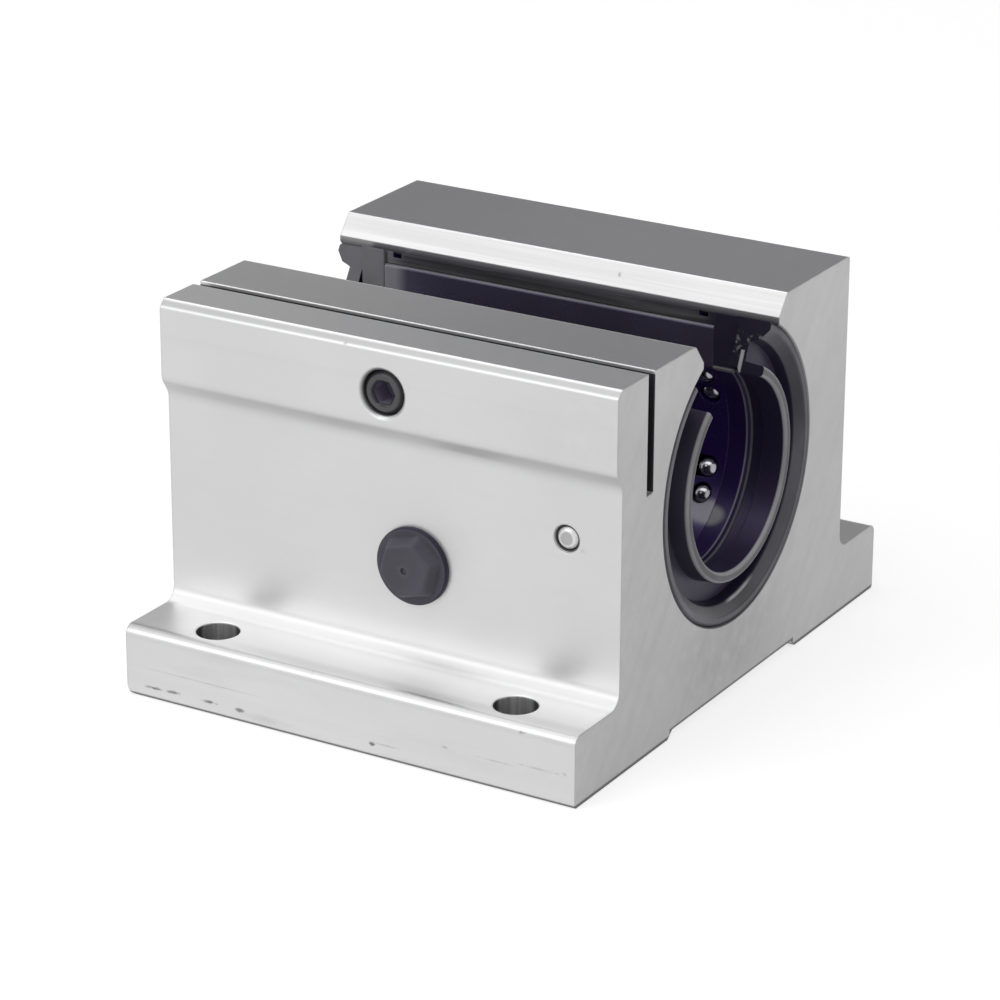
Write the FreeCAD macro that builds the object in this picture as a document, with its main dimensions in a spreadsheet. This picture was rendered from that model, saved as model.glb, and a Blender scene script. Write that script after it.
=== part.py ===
import FreeCAD, Part
import os
import re
import Sketcher
from FreeCAD import Placement, Rotation, Vector

# Open linear bearing block for a shaft on a continuous rail support.
# X runs along the shaft, Y across it and Z up, with the origin in the middle of the base.
# All lengths are millimetres and all angles are degrees.

doc = FreeCAD.newDocument("linear_bearing_block")
sheet = doc.addObject("Spreadsheet::Sheet", "sizes")

driving = (
    # Shaft, balls and the layers of the bearing, from the inside out
    ("shaft_dia", 25.4),
    ("run_gap", 0.02),          # ball to shaft
    ("ball_dia", 3.175),
    ("ball_gap", 0.05),         # ball to the plate above it
    ("plate_thick", 2.4),
    ("plate_fit", 0.05),        # plate to sleeve
    ("sleeve_wall", 1.5),
    ("bore_fit", 0.06),         # bearing to housing bore
    # Lengths along the shaft
    ("bearing_length", 57.15),
    ("ring_length", 3.5),
    ("ring_gap", 0.05),
    ("seal_depth", 4.825),      # seat of an end seal, beyond the bearing
    # Ball circuits
    ("circuit_places", 6),      # places round the circle, of which the opening takes one
    ("row_wall", 0.425),        # ball to ball across a circuit
    ("row_play", 0.045),        # ball to ball along a row
    ("row_inset", 2.4),         # least distance of a row's last ball from the end of the cage
    ("cage_gap", 0.08),         # ball to the sides of its slot
    ("cage_lip", 0.69),         # ball centre to the lips that hold it
    ("lip_gap", 0.03),          # ball to those lips
    ("cage_clear", 0.55),       # cage bore to shaft
    ("window_inset", 2.4),      # turning window to the end of the cage
    ("ball_sink", 0.35),        # how far a returning ball lies below the loaded ones
    ("plate_width", 7.5),
    ("plate_inset", 2.0),
    ("plate_side_gap", 0.06),
    ("groove_inset", 1.1),      # snap ring groove to the end of the sleeve
    ("groove_width", 1.3),
    ("groove_depth", 0.7),
    ("ring_bevel", 0.8),
    # Opening for the rail support
    ("opening_width", 16.4),
    ("sleeve_setback", 0.5),    # edge of the sleeve behind the edge of the cage
    ("throat_lap", 2.0),        # housing edge behind the edge of the bearing
    ("mouth_flare", 2.2),
    ("mouth_depth", 2.75),
    # Housing section
    ("bore_height", 30.15),
    ("crown", 1.01),            # bore to the top of the jaws
    ("jaw_wall", 2.91),         # bore to adjusting slot
    ("slot_width", 1.6),
    ("slot_depth", 15.8),
    ("screw_wall", 6.05),       # adjusting slot to side wall
    ("boss_reach", 1.4),
    ("boss_drop", 10.7),
    ("boss_run", 2.2),
    ("boss_bevel", 1.0),
    ("boss_round", 2.0),
    ("flange_reach", 10.875),
    ("flange_height", 9.5),
    ("flange_round", 1.3),
    ("root_round", 2.0),
    ("wall_round", 0.6),
    ("jaw_round", 0.9),
    ("relief_width", 33.0),
    ("relief_depth", 1.0),
    ("relief_flare", 1.2),
    ("base_bevel", 0.3),
    ("edge_break", 0.2),        # broken edges of the boss bevel
    ("corner_round", 1.3),      # lower edge of the screw side flange at its rear end
    ("bore_bevel", 0.25),
    # Mounting holes in the flanges
    ("hole_dia", 5.7),
    ("hole_pitch", 44.45),
    ("hole_offset", 6.115),     # side wall to hole
    ("hole_bevel", 0.12),
    # Adjusting screw
    ("screw_dia", 5.95),
    ("screw_drop", 6.45),       # below the top of the jaws
    ("thread_gap", 0.05),
    ("screw_tip_gap", 0.02),
    ("screw_sink", 0.2),        # below the face of the boss
    ("screw_bevel", 0.65),
    ("screw_point", 0.8),
    ("socket_width", 2.9),
    ("socket_depth", 3.4),
    ("socket_mouth", 0.2),
    ("screw_mouth", 0.4),
    # Lubrication plug
    ("plug_place", 3.7),        # along the shaft from the middle
    ("plug_drop", 8.15),        # below the shaft
    ("plug_dia", 6.35),
    ("plug_reach", 6.5),
    ("plug_rim_dia", 10.3),
    ("plug_rim", 0.8),
    ("plug_hex", 8.0),          # across flats, where the head meets the rim
    ("plug_turn", 15.0),        # first corner of the head, up from the length
    ("plug_slope", 25.0),       # lean of the head's sides
    ("plug_corner", 0.9),
    ("plug_head", 2.5),
    ("plug_bevel", 0.3),
    ("dimple_dia", 0.9),
    ("dimple_depth", 0.25),
    ("port_dia", 3.2),
    ("port_depth", 7.2),
    # Pin that locks the bearing in the housing
    ("pin_dia", 3.1),
    ("pin_gap", 0.04),
    ("pin_inset", 0.6),         # pin to the inner end of the front ring
    ("pin_tip_dia", 1.2),
    ("pin_bite", 2.0),          # into the ring
    ("pin_bevel", 0.5),
    ("pin_moat", 0.3),          # open ring round the outer end
    ("moat_depth", 0.3),
    # End seals
    ("seal_fit", 0.03),
    ("seal_gap", 0.05),
    ("seal_gape", 62.0),        # angle of the open part
    ("seal_turn", 7.0),         # how far the front seal sits round from upright
    ("lip_clear", 0.05),        # lip to shaft
    ("lip_proud", 0.3),
    ("lip_thick", 1.35),
    ("lip_root", 1.55),
    ("lip_round", 0.4),
    ("lip_relief", 0.6),
    ("lip_step", 1.4),          # length of the relief behind the lip
    ("seal_groove", 2.5),
    ("seal_face", 1.0),         # flat outer band
    ("seal_slope", 1.4),        # conical band inside it
    ("seal_slope_depth", 1.1),
    ("seal_wall_root", 2.9),
    ("seal_bevel", 0.25),
    ("seal_skirt", 1.1),        # outer wall behind the floor of the groove
    ("seal_hollow", 0.3),       # depth of the hollow back
    ("hollow_root", 1.85),
    ("cut_round", 0.4),         # long edges of the cage along the opening
)

derived = (
    ("row_offset", "(ball_dia + row_wall) / 2"),
    ("row_pitch", "ball_dia + row_play"),
    ("ball_circle", "shaft_dia / 2 + run_gap + ball_dia / 2"),
    ("ball_level", "sqrt(ball_circle ^ 2 - row_offset ^ 2)"),
    ("track_level", "ball_level + ball_dia / 2 + ball_gap"),
    ("plate_top", "track_level + plate_thick"),
    ("sleeve_bore", "plate_top + plate_fit"),
    ("sleeve_edge", "sleeve_bore + sleeve_wall"),
    ("bore_radius", "sleeve_edge + bore_fit"),
    ("cage_bore", "shaft_dia / 2 + cage_clear"),
    ("cage_half", "bearing_length / 2 - ring_length - ring_gap"),
    ("row_balls", "floor(2 * (cage_half - row_inset) / row_pitch) + 1"),
    ("row_half", "(row_balls - 1) * row_pitch / 2"),
    ("slot_wide", "ball_dia + 2 * cage_gap"),
    ("lip_wide", "2 * sqrt(ball_dia ^ 2 / 4 - cage_lip ^ 2) + 2 * lip_gap"),
    ("window_place", "cage_half - window_inset"),
    ("plate_half", "cage_half - plate_inset"),
    ("block_half", "bearing_length / 2 + seal_depth"),
    ("block_height", "bore_height + bore_radius + crown"),
    ("slot_inner", "bore_radius + jaw_wall"),
    ("slot_outer", "slot_inner + slot_width"),
    ("wall_half", "slot_outer + screw_wall"),
    ("boss_half", "wall_half + boss_reach"),
    ("base_half", "wall_half + flange_reach"),
    ("throat_half", "opening_width / 2 + throat_lap"),
    ("mouth_half", "throat_half + mouth_flare"),
    ("hole_place", "wall_half + hole_offset"),
    ("screw_height", "block_height - screw_drop"),
    ("screw_length", "boss_half - screw_sink - slot_inner - screw_tip_gap"),
    ("pin_place", "cage_half + ring_gap + pin_inset"),
    ("seal_back", "bearing_length / 2 + seal_gap"),
    ("lip_radius", "shaft_dia / 2 + lip_clear"),
    ("seal_edge", "bore_radius - seal_fit"),
)

names = {alias for alias, size in driving + derived}
for row, (alias, size) in enumerate(driving + derived, 1):
    sheet.set("A%d" % row, alias)
    sheet.set("B%d" % row, ("=" + size) if isinstance(size, str) else str(size))
    sheet.setAlias("B%d" % row, alias)
doc.recompute()


def worded(text):
    return re.sub(r"[a-z_]+", lambda word: ("sizes." if word.group() in names else "") + word.group(), text)


def size(text):
    return float(sheet.evalExpression(worded(text)))


def bind(thing, **sizes):
    for field, text in sizes.items():
        thing.setExpression(field, worded(text))


def new_body(name, height=None, turn=None, along=None, across=None):
    body = doc.addObject("PartDesign::Body", name)
    body.Label = name
    body.Placement = Placement(Vector(0, 0, 0), Rotation(Vector(1, 0, 0), 1 if turn else 0))
    for field, text in (("Base.x", along), ("Base.y", across), ("Base.z", height), ("Rotation.Angle", turn)):
        if text:
            body.setExpression("Placement." + field, worded(text))
    return body


def origin(body, role):
    return next(item for item in body.Origin.OriginFeatures if item.Role == role)


def new_sketch(body, name, role, lift=None):
    sketch = body.newObject("Sketcher::SketchObject", name)
    sketch.AttachmentSupport = [(origin(body, role), "")]
    sketch.MapMode = "FlatFace"
    if lift:
        sketch.setExpression("AttachmentOffset.Base.z", worded(lift))
    return sketch


def hold(sketch, item, point, axis, text):
    # One coordinate of a sketch point, measured from the sketch's origin
    start = size(text)
    if abs(start) < 1e-9:
        sketch.addConstraint(Sketcher.Constraint("PointOnObject", item, point, -2 if axis == "X" else -1))
        return
    if start > 0:
        rule = Sketcher.Constraint("Distance" + axis, -1, 1, item, point, start)
    else:
        rule = Sketcher.Constraint("Distance" + axis, item, point, -1, 1, -start)
    number = sketch.addConstraint(rule)
    sketch.setExpression("Constraints[%d]" % number, worded(text if start > 0 else "-(%s)" % text))


def outline(sketch, corners):
    points = [Vector(size(x), size(y), 0) for x, y in corners]
    count = len(points)
    first = sketch.GeometryCount
    for k in range(count):
        sketch.addGeometry(Part.LineSegment(points[k], points[(k + 1) % count]))
    for k in range(count):
        sketch.addConstraint(Sketcher.Constraint("Coincident", first + k, 2, first + (k + 1) % count, 1))
    for k, (x, y) in enumerate(corners):
        hold(sketch, first + k, 1, "X", x)
        hold(sketch, first + k, 1, "Y", y)


def circle(sketch, x, y, width):
    item = sketch.addGeometry(Part.Circle(Vector(size(x), size(y), 0), Vector(0, 0, 1), size(width) / 2))
    hold(sketch, item, 3, "X", x)
    hold(sketch, item, 3, "Y", y)
    number = sketch.addConstraint(Sketcher.Constraint("Diameter", item, size(width)))
    sketch.setExpression("Constraints[%d]" % number, worded(width))


def long_slot(sketch, half, y, width):
    # Straight slot along X with half-round ends centred at -half and +half
    reach, level, radius = size(half), size(y), size(width) / 2
    turn = FreeCAD.Units.Quantity("90 deg").getValueAs("rad").Value
    right = sketch.addGeometry(Part.ArcOfCircle(
        Part.Circle(Vector(reach, level, 0), Vector(0, 0, 1), radius), -turn, turn))
    left = sketch.addGeometry(Part.ArcOfCircle(
        Part.Circle(Vector(-reach, level, 0), Vector(0, 0, 1), radius), turn, 3 * turn))
    upper = sketch.addGeometry(Part.LineSegment(Vector(reach, level + radius, 0), Vector(-reach, level + radius, 0)))
    lower = sketch.addGeometry(Part.LineSegment(Vector(-reach, level - radius, 0), Vector(reach, level - radius, 0)))
    for one, end, other, start in ((right, 2, upper, 1), (upper, 2, left, 1), (left, 2, lower, 1), (lower, 2, right, 1)):
        sketch.addConstraint(Sketcher.Constraint("Tangent", one, end, other, start))
    hold(sketch, right, 3, "X", half)
    hold(sketch, right, 3, "Y", y)
    hold(sketch, left, 3, "X", "-" + half)
    hold(sketch, left, 3, "Y", y)
    number = sketch.addConstraint(Sketcher.Constraint("Radius", right, radius))
    sketch.setExpression("Constraints[%d]" % number, worded("(%s) / 2" % width))


def quarter_round(sketch, x, y, radius):
    # Waste outside a quarter circle that rounds the lower left corner at x, y
    inner_x, inner_y = "%s + %s" % (x, radius), "%s + %s" % (y, radius)
    corners = ((x, inner_y), ("%s - %s" % (x, radius), inner_y), ("%s - %s" % (x, radius), "%s - %s" % (y, radius)),
               (inner_x, "%s - %s" % (y, radius)), (inner_x, y))
    points = [Vector(size(u), size(v), 0) for u, v in corners]
    turn = FreeCAD.Units.Quantity("90 deg").getValueAs("rad").Value
    for k in range(4):
        sketch.addGeometry(Part.LineSegment(points[k], points[k + 1]))
    sketch.addGeometry(Part.ArcOfCircle(
        Part.Circle(Vector(size(inner_x), size(inner_y), 0), Vector(0, 0, 1), size(radius)), 2 * turn, 3 * turn))
    for one, end, other, start in ((0, 2, 1, 1), (1, 2, 2, 1), (2, 2, 3, 1), (3, 2, 4, 2), (4, 1, 0, 1)):
        sketch.addConstraint(Sketcher.Constraint("Coincident", one, end, other, start))
    for k, (u, v) in enumerate(corners[:4]):
        hold(sketch, k, 1, "X", u)
        hold(sketch, k, 1, "Y", v)
    sketch.addConstraint(Sketcher.Constraint("Vertical", 3))
    hold(sketch, 4, 3, "X", inner_x)
    hold(sketch, 4, 3, "Y", inner_y)


def hexagon(sketch, width, turn="0"):
    # Six-sided outline by its width across flats, with a corner at the given turn from the local X axis
    side = "(%s) / sqrt(3)" % width
    outline(sketch, [("%s * cos(%s + %d)" % (side, turn, 60 * k), "%s * sin(%s + %d)" % (side, turn, 60 * k))
                     for k in range(6)])


def pad(body, sketch, length, both=False, back=False):
    item = body.newObject("PartDesign::Pad", sketch.Name + "_pad")
    item.Profile = sketch
    item.SideType = "Symmetric" if both else "One side"
    item.Reversed = back
    bind(item, Length=length)
    doc.recompute()
    return item


def pocket(body, sketch, length=None, both=False, back=False):
    before = body.Tip.Shape.Volume
    item = body.newObject("PartDesign::Pocket", sketch.Name + "_cut")
    item.Profile = sketch
    item.SideType = "Symmetric" if both else "One side"
    item.Reversed = back
    if length:
        bind(item, Length=length)
    else:
        item.Type = "ThroughAll"
    doc.recompute()
    if body.Tip.Shape.Volume > before - 1e-6:
        raise RuntimeError(item.Name + " cuts nothing")
    return item


def revolve(body, sketch, angle="360", kind="Revolution"):
    item = body.newObject("PartDesign::" + kind, sketch.Name + "_turned")
    item.Profile = sketch
    item.ReferenceAxis = (sketch, ["H_Axis"])
    item.Midplane = True
    bind(item, Angle=angle)
    doc.recompute()
    return item


def soften(body, name, edges, amount, kind="Fillet"):
    if not edges:
        raise RuntimeError(name + " found no edge")
    item = body.newObject("PartDesign::" + kind, name)
    item.Base = (item.BaseFeature or body.Tip, edges)
    bind(item, **{"Radius" if kind == "Fillet" else "Size": amount})
    doc.recompute()
    return item


def edges_where(shape, test):
    return ["Edge%d" % (k + 1) for k, edge in enumerate(shape.Edges) if not edge.Degenerated and test(edge)]


def runs_along(shape, *places):
    # Edges that run the length of the block at the given places across and up
    spots = [(size(y), size(z)) for y, z in places]

    def test(edge):
        ends = [(point.Y, point.Z) for point in edge.Vertexes]
        return any(all(abs(y - u) < 1e-4 and abs(z - v) < 1e-4 for y, z in ends) for u, v in spots)
    return edges_where(shape, test)


def rims(shape, width, axis, place):
    # Round edges of a given diameter that lie in a plane across the given axis
    def test(edge):
        if edge.Curve.TypeId != "Part::GeomCircle":
            return False
        centre = edge.Curve.Center
        return abs(2 * edge.Curve.Radius - size(width)) < 1e-4 and abs(getattr(centre, axis) - size(place)) < 1e-4
    return edges_where(shape, test)


# Housing: one extruded section, then the bore, holes and machined edges
housing = new_body("housing")
section = new_sketch(housing, "housing_section", "YZ_Plane")
top = "block_height"
outline(section, (
    ("-base_half", "0"),
    ("-relief_width / 2 - relief_flare", "0"),
    ("-relief_width / 2", "relief_depth"),
    ("relief_width / 2", "relief_depth"),
    ("relief_width / 2 + relief_flare", "0"),
    ("base_half", "0"),
    ("base_half", "flange_height"),
    ("wall_half", "flange_height"),
    ("wall_half", top),
    ("mouth_half", top),
    ("throat_half", "block_height - mouth_depth"),
    ("throat_half", "bore_height"),
    ("-throat_half", "bore_height"),
    ("-throat_half", "block_height - mouth_depth"),
    ("-mouth_half", top),
    ("-slot_inner", top),
    ("-slot_inner", "block_height - slot_depth"),
    ("-slot_outer", "block_height - slot_depth"),
    ("-slot_outer", top),
    ("-boss_half", top),
    ("-boss_half", "block_height - boss_drop"),
    ("-wall_half", "block_height - boss_drop - boss_run"),
    ("-wall_half", "flange_height"),
    ("-base_half", "flange_height"),
))
pad(housing, section, "2 * block_half", both=True)
soften(housing, "boss_edge", runs_along(housing.Tip.Shape, ("-boss_half", top)), "boss_bevel", "Chamfer")
soften(housing, "boss_edge_break", runs_along(
    housing.Tip.Shape, ("-boss_half + boss_bevel", top), ("-boss_half", "block_height - boss_bevel")), "edge_break")
soften(housing, "boss_blend", runs_along(
    housing.Tip.Shape, ("-boss_half", "block_height - boss_drop"),
    ("-wall_half", "block_height - boss_drop - boss_run")), "boss_round")
soften(housing, "root_blend", runs_along(
    housing.Tip.Shape, ("wall_half", "flange_height"), ("-wall_half", "flange_height")), "root_round")
soften(housing, "flange_blend", runs_along(
    housing.Tip.Shape, ("base_half", "flange_height"), ("-base_half", "flange_height")), "flange_round")
soften(housing, "base_edge", runs_along(
    housing.Tip.Shape, ("base_half", "0"), ("-base_half", "0")), "base_bevel", "Chamfer")
soften(housing, "wall_blend", runs_along(housing.Tip.Shape, ("wall_half", top)), "wall_round")
soften(housing, "jaw_blend", runs_along(housing.Tip.Shape, ("-mouth_half", top)), "jaw_round")

rear_corner = new_sketch(housing, "rear_corner", "XZ_Plane", "base_half")
quarter_round(rear_corner, "-block_half", "0", "corner_round")
pocket(housing, rear_corner, "base_half - relief_width / 2 - relief_flare - corner_round")

bore = new_sketch(housing, "bore", "YZ_Plane")
circle(bore, "0", "bore_height", "2 * bore_radius")
pocket(housing, bore, "2 * block_half", both=True)
soften(housing, "bore_edge", rims(housing.Tip.Shape, "2 * bore_radius", "x", "block_half")
       + rims(housing.Tip.Shape, "2 * bore_radius", "x", "-block_half"), "bore_bevel", "Chamfer")

holes = new_sketch(housing, "mounting_holes", "XY_Plane")
for x in ("-hole_pitch / 2", "hole_pitch / 2"):
    for y in ("-hole_place", "hole_place"):
        circle(holes, x, y, "hole_dia")
pocket(housing, holes, "flange_height", back=True)
soften(housing, "hole_edges", rims(housing.Tip.Shape, "hole_dia", "z", "flange_height"), "hole_bevel", "Chamfer")

screw_hole = new_sketch(housing, "screw_hole", "XZ_Plane", "slot_outer - slot_width / 2")
circle(screw_hole, "0", "screw_height", "screw_dia + 2 * thread_gap")
pocket(housing, screw_hole, "boss_half", back=True)
soften(housing, "screw_hole_edge", rims(housing.Tip.Shape, "screw_dia + 2 * thread_gap", "y", "-boss_half"),
       "screw_mouth", "Chamfer")

plug_seat = new_sketch(housing, "plug_seat", "XZ_Plane", "wall_half")
circle(plug_seat, "plug_place", "bore_height - plug_drop", "plug_dia + 2 * thread_gap")
pocket(housing, plug_seat, "port_depth")
port = new_sketch(housing, "port", "XZ_Plane", "wall_half")
circle(port, "plug_place", "bore_height - plug_drop", "port_dia")
pocket(housing, port, "wall_half")

pin_hole = new_sketch(housing, "pin_hole", "XZ_Plane", "wall_half")
circle(pin_hole, "pin_place", "bore_height", "pin_dia + 2 * pin_gap")
pocket(housing, pin_hole, "wall_half")
moat = new_sketch(housing, "pin_moat", "XZ_Plane", "wall_half")
circle(moat, "pin_place", "bore_height", "pin_dia + 2 * pin_moat")
pocket(housing, moat, "moat_depth")


# Adjusting screw: bears on the thin inner jaw and is reached through the boss
screw = new_body("adjusting_screw", height="screw_height", across="-slot_inner - screw_tip_gap")
shank = new_sketch(screw, "screw_shank", "XZ_Plane")
circle(shank, "0", "0", "screw_dia")
pad(screw, shank, "screw_length")
soften(screw, "screw_head_edge", rims(screw.Tip.Shape, "screw_dia", "y", "-screw_length"), "screw_bevel", "Chamfer")
soften(screw, "screw_tip_edge", rims(screw.Tip.Shape, "screw_dia", "y", "0"), "screw_point", "Chamfer")
socket = new_sketch(screw, "screw_socket", "XZ_Plane", "screw_length")
hexagon(socket, "socket_width")
pocket(screw, socket, "socket_depth")
soften(screw, "socket_edge", edges_where(screw.Tip.Shape, lambda edge: edge.Curve.TypeId == "Part::GeomLine" and all(
    abs(point.Y + size("screw_length")) < 1e-4 for point in edge.Vertexes)), "socket_mouth", "Chamfer")

# Lubrication plug: threaded shank, round rim and leaning six-sided head
plug = new_body("lubrication_plug", along="plug_place", across="-wall_half", height="bore_height - plug_drop")
rim = new_sketch(plug, "plug_rim", "XZ_Plane")
circle(rim, "0", "0", "plug_rim_dia")
pad(plug, rim, "plug_rim")
soften(plug, "plug_rim_edge", rims(plug.Tip.Shape, "plug_rim_dia", "y", "-plug_rim"), "plug_bevel")
head = new_sketch(plug, "plug_head", "XZ_Plane", "plug_rim")
hexagon(head, "plug_hex", "plug_turn")
bind(pad(plug, head, "plug_head - plug_rim"), TaperAngle="-plug_slope")
doc.recompute()
stem = new_sketch(plug, "plug_stem", "XZ_Plane")
circle(stem, "0", "0", "plug_dia")
pad(plug, stem, "plug_reach", back=True)
soften(plug, "plug_stem_edge", rims(plug.Tip.Shape, "plug_dia", "y", "plug_reach"), "plug_bevel", "Chamfer")


def leans(edge):
    # Slanted corner of the plug's head
    reach = sorted(-point.Y for point in edge.Vertexes)
    return len(reach) == 2 and abs(reach[0] - size("plug_rim")) < 1e-4 and abs(reach[1] - size("plug_head")) < 1e-4


soften(plug, "plug_corners", edges_where(plug.Tip.Shape, leans), "plug_corner")
soften(plug, "plug_head_edge", edges_where(plug.Tip.Shape, lambda edge: all(
    abs(point.Y + size("plug_head")) < 1e-4 for point in edge.Vertexes)), "plug_bevel")
dimple = new_sketch(plug, "plug_dimple", "XZ_Plane", "plug_head")
circle(dimple, "0", "0", "dimple_dia")
pocket(plug, dimple, "dimple_depth")

# Lock pin: through the side wall into the front ring of the bearing
pin = new_body("bearing_lock_pin", along="pin_place", across="-wall_half", height="bore_height")
pin_round = new_sketch(pin, "pin_round", "XZ_Plane")
circle(pin_round, "0", "0", "pin_dia")
pad(pin, pin_round, "wall_half - bore_radius", back=True)
soften(pin, "pin_edges", edges_where(pin.Tip.Shape, lambda edge: edge.Curve.TypeId == "Part::GeomCircle"),
       "pin_bevel", "Chamfer")
pin_tip = new_sketch(pin, "pin_tip", "XZ_Plane", "-pin_bevel")
circle(pin_tip, "0", "0", "pin_tip_dia")
pad(pin, pin_tip, "wall_half - pin_bevel - sleeve_edge + pin_bite", back=True)


def open_top(body, half):
    # Parallel-sided opening towards the rail support
    cut = new_sketch(body, body.Name + "_opening", "XY_Plane")
    outline(cut, (("-bearing_length", "-(%s)" % half), ("bearing_length", "-(%s)" % half),
                  ("bearing_length", half), ("-bearing_length", half)))
    pocket(body, cut, back=True)


def hoop(body, start, end, inner, outer):
    ring = new_sketch(body, body.Name + "_section", "XZ_Plane")
    outline(ring, ((start, "-(%s)" % outer), (end, "-(%s)" % outer), (end, "-(%s)" % inner), (start, "-(%s)" % inner)))
    revolve(body, ring)


# Outer sleeve of the bearing, with a snap ring groove near each end
sleeve = new_body("outer_sleeve", height="bore_height")
hoop(sleeve, "-cage_half", "cage_half", "sleeve_bore", "sleeve_edge")
groove = new_sketch(sleeve, "snap_grooves", "XZ_Plane")
for sign in ("", "-"):
    near, far = sign + "(cage_half - groove_inset)", sign + "(cage_half - groove_inset - groove_width)"
    outline(groove, ((near, "-sleeve_edge - groove_depth"), (far, "-sleeve_edge - groove_depth"),
                     (far, "-sleeve_edge + groove_depth"), (near, "-sleeve_edge + groove_depth")))
revolve(sleeve, groove, kind="Groove")
open_top(sleeve, "opening_width / 2 + sleeve_setback")

# Ball retainer: slots for the loaded rows, turning windows and seats for the load plates
retainer = new_body("ball_retainer", height="bore_height")
hoop(retainer, "-cage_half", "cage_half", "cage_bore", "plate_top")
lips = new_sketch(retainer, "slot_lips", "XY_Plane")
tracks = new_sketch(retainer, "slot_tracks", "XY_Plane", "-ball_level + cage_lip")
for sketch, width in ((lips, "lip_wide"), (tracks, "slot_wide")):
    long_slot(sketch, "row_half", "row_offset", width)
    circle(sketch, "window_place", "-row_offset", width)
    circle(sketch, "-window_place", "-row_offset", width)
seat = new_sketch(retainer, "plate_seat", "XY_Plane", "-track_level")
seat_x, seat_y = "plate_half + plate_side_gap", "plate_width / 2 + plate_side_gap"
outline(seat, (("-(%s)" % seat_x, "-(%s)" % seat_y), (seat_x, "-(%s)" % seat_y),
               (seat_x, seat_y), ("-(%s)" % seat_x, seat_y)))
cuts = [pocket(retainer, sketch) for sketch in (lips, tracks, seat)]
circuits = retainer.newObject("PartDesign::PolarPattern", "circuits")
circuits.Originals = cuts
circuits.Axis = (origin(retainer, "X_Axis"), [""])
circuits.Angle = 360
bind(circuits, Occurrences="circuit_places")
retainer.Tip = circuits
doc.recompute()
open_top(retainer, "opening_width / 2")
cut_level = "sqrt(plate_top ^ 2 - opening_width ^ 2 / 4)"
soften(retainer, "retainer_cut_edges", runs_along(
    retainer.Tip.Shape, ("opening_width / 2", cut_level), ("-opening_width / 2", cut_level)), "cut_round")

# Rings that close both ends of the bearing
for name, sign in (("retainer_end_ring_front", ""), ("retainer_end_ring_rear", "-")):
    ring = new_body(name, height="bore_height")
    hoop(ring, sign + "(bearing_length / 2 - ring_length)", sign + "bearing_length / 2", "cage_bore", "sleeve_edge")
    soften(ring, name + "_edge", rims(ring.Tip.Shape, "2 * cage_bore", "x", sign + "bearing_length / 2"),
           "ring_bevel", "Chamfer")
    open_top(ring, "opening_width / 2")
    if not sign:
        seat = new_sketch(ring, "pin_seat", "XZ_Plane", "sleeve_edge + bore_fit")
        circle(seat, "pin_place", "0", "pin_tip_dia + 2 * pin_gap")
        pocket(ring, seat, "pin_bite + bore_fit + pin_gap")

# Load plates and ball circuits, one of each at every place but the opening
for place in range(5):
    turn = "360 / circuit_places * %d" % (2 - place)
    plate = new_body("load_plate_%d" % (place + 1), height="bore_height", turn=turn)
    blank = new_sketch(plate, "plate_%d_section" % (place + 1), "YZ_Plane")
    outline(blank, (
        ("0", "-track_level"), ("plate_width / 2", "-track_level"),
        ("plate_width / 2", "-plate_top"), ("-plate_width / 2", "-plate_top"),
        ("-plate_width / 2", "-track_level - ball_sink"), ("0", "-track_level - ball_sink")))
    pad(plate, blank, "2 * plate_half", both=True)
    crown_cut = new_sketch(plate, "plate_%d_crown" % (place + 1), "YZ_Plane")
    circle(crown_cut, "0", "0", "2 * plate_top")
    circle(crown_cut, "0", "0", "2 * plate_top + 2 * plate_width")
    pocket(plate, crown_cut, "2 * plate_half", both=True)

    balls = new_body("ball_circuit_%d" % (place + 1), height="bore_height", turn=turn)
    spots = (("row", "-row_half", "row_offset", "-ball_level"),
             ("turn_front", "window_place", "-row_offset", "-ball_level - ball_sink"),
             ("turn_rear", "-window_place", "-row_offset", "-ball_level - ball_sink"))
    for label, x, y, z in spots:
        ball = balls.newObject("PartDesign::AdditiveSphere", "ball_%d_%s" % (place + 1, label))
        ball.AttachmentSupport = [(origin(balls, "XY_Plane"), "")]
        ball.MapMode = "FlatFace"
        bind(ball, Radius="ball_dia / 2")
        for axis, text in (("x", x), ("y", y), ("z", z)):
            ball.setExpression("AttachmentOffset.Base." + axis, worded(text))
        doc.recompute()
        if label == "row":
            row = balls.newObject("PartDesign::LinearPattern", "ball_row_%d" % (place + 1))
            row.Originals = [ball]
            row.Direction = (origin(balls, "X_Axis"), [""])
            bind(row, Length="2 * row_half", Occurrences="row_balls")
            balls.Tip = row
            doc.recompute()

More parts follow.
